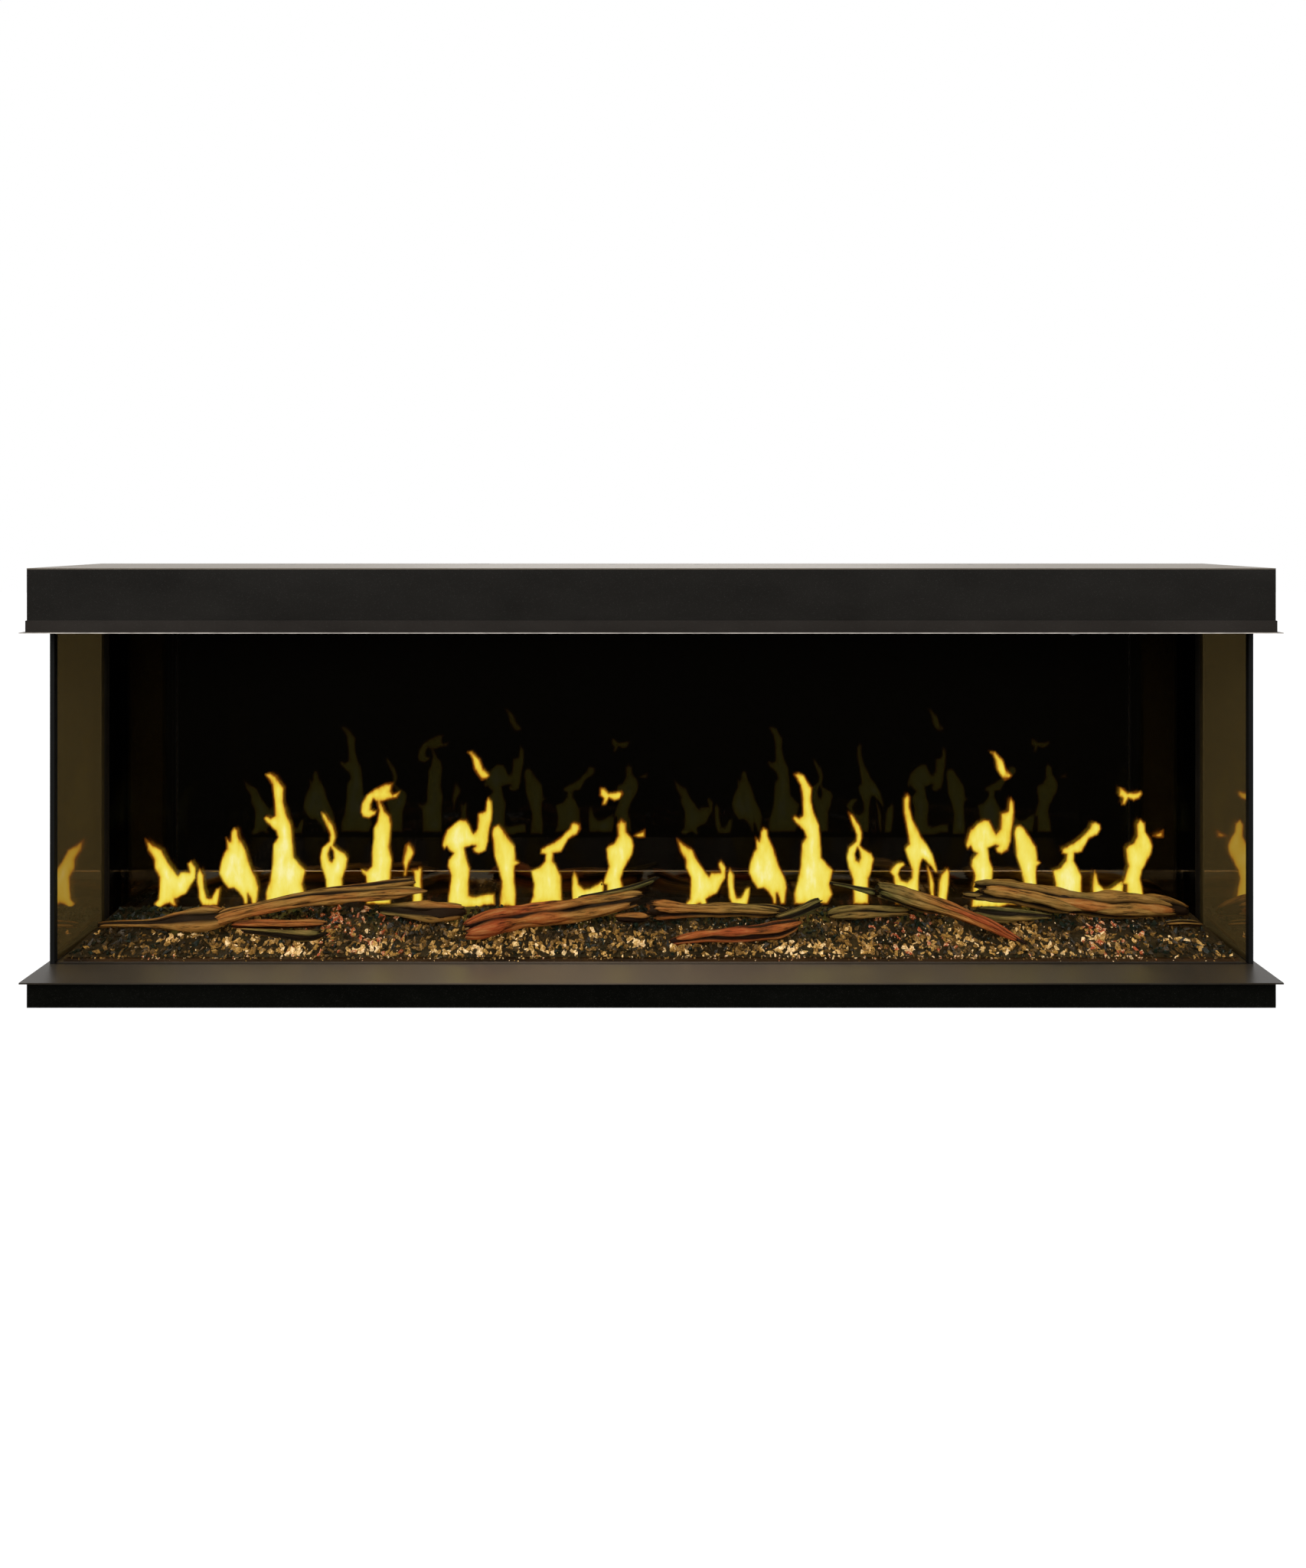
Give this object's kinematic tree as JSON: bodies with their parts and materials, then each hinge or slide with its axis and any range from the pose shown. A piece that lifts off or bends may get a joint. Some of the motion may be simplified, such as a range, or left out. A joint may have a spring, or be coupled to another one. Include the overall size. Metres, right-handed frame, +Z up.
{
  "type": "three-sided electric fireplace",
  "caption": "Black built-in electric fireplace with glass on three sides, driftwood logs on a lit ember bed and tall video flames.",
  "frame": {"origin": "centre of the footprint, on the surface that the base stands on", "axes": "+X to the viewer's right along the longest side, +Y from the glass front to the rear, +Z up"},
  "size_m": [1.612, 0.346, 0.563],
  "materials": {
    "black_case": "satin",
    "ledge_black": "satin",
    "galvanised": "matte",
    "bare_aluminium": "satin",
    "black_screws": "satin",
    "clear_glass": "polished",
    "flame_glass": "polished",
    "gloss_black_glass": "polished",
    "gloss_black": "gloss",
    "black_rubber": "matte",
    "black_plastic": "matte",
    "gloss_plastic": "gloss",
    "circuit_board": "satin",
    "ember_acrylic": "satin",
    "ember_glass": "polished",
    "driftwood": "matte",
    "bronze": "satin",
    "motor_steel": "satin",
    "terminal_ceramic": "matte"
  },
  "bodies": {
    "carcass": {"base_tray": "black_case", "lower_ledge": "ledge_black", "lower_glass_channel": "black_case", "upper_glass_channel": "galvanised", "left_glass": "clear_glass", "right_glass": "clear_glass", "glass_seals": "black_rubber", "hood": "black_case", "upper_flange": "black_case", "top_plate": "galvanised", "top_rail": "galvanised", "top_screws": "black_screws", "rear_deck": "galvanised", "left_cheek": "galvanised", "right_cheek": "galvanised", "rear_panel": "galvanised", "rear_stiffeners": "galvanised", "ceiling_panel": "black_case", "outlet_grille": "black_case", "floor_panel": "black_case", "screen_rails": "black_case", "left_flame_screen": "flame_glass", "right_flame_screen": "flame_glass", "driver_cover": "gloss_black", "driver_boards": "circuit_board", "gloss_panel": "gloss_black_glass", "side_liners": "gloss_black_glass", "ember_diffuser": "ember_acrylic", "ember_bed": "ember_glass", "light_carrier": "bare_aluminium", "light_boards": "circuit_board", "blower_housing": "galvanised", "blower_bearing": "bronze", "blower_motor": "motor_steel", "heating_element": "bare_aluminium", "control_bezel": "black_plastic", "button_board": "circuit_board", "rocker_housing": "black_plastic", "control_board": "circuit_board", "power_supply": "bare_aluminium", "terminal_box": "galvanised", "terminal_block": "terminal_ceramic", "cable_bushing": "black_rubber", "driftwood_left_twig": "driftwood", "driftwood_left_branch": "driftwood", "driftwood_short_logs": "driftwood", "driftwood_centre_branch": "driftwood", "driftwood_centre_log": "driftwood", "driftwood_crook": "driftwood", "driftwood_right_branch": "driftwood", "driftwood_right_log": "driftwood", "driftwood_chunks": "driftwood"},
    "front_glass": {"front_glass": "clear_glass"},
    "blower_wheel": {"blower_wheel": "bare_aluminium"},
    "power_rocker": {"power_rocker": "gloss_plastic"},
    "push_button_1": {"push_button_1": "black_plastic"},
    "push_button_2": {"push_button_2": "black_plastic"},
    "push_button_3": {"push_button_3": "black_plastic"},
    "push_button_4": {"push_button_4": "black_plastic"}
  },
  "joints": [
    {"name": "front_glass_lift", "type": "slide", "parent": "carcass", "child": "front_glass", "axis": [0, 0, 1], "range_m": [0, 0.009]},
    {"name": "blower_wheel_spin", "type": "hinge", "parent": "carcass", "child": "blower_wheel", "pos_m": [0, -0.073, 0.52], "axis": [1, 0, 0], "continuous": true},
    {"name": "power_rocker_tilt", "type": "hinge", "parent": "carcass", "child": "power_rocker", "pos_m": [0.555, -0.1447, 0.485], "axis": [0, -1, 0], "range_deg": [-14, 0]},
    {"name": "push_button_1_press", "type": "slide", "parent": "carcass", "child": "push_button_1", "axis": [0, 0, 1], "range_m": [0, 0.0012], "stiffness_N_per_m": 400},
    {"name": "push_button_2_press", "type": "slide", "parent": "carcass", "child": "push_button_2", "axis": [0, 0, 1], "range_m": [0, 0.0012], "stiffness_N_per_m": 400},
    {"name": "push_button_3_press", "type": "slide", "parent": "carcass", "child": "push_button_3", "axis": [0, 0, 1], "range_m": [0, 0.0012], "stiffness_N_per_m": 400},
    {"name": "push_button_4_press", "type": "slide", "parent": "carcass", "child": "push_button_4", "axis": [0, 0, 1], "range_m": [0, 0.0012], "stiffness_N_per_m": 400}
  ]
}
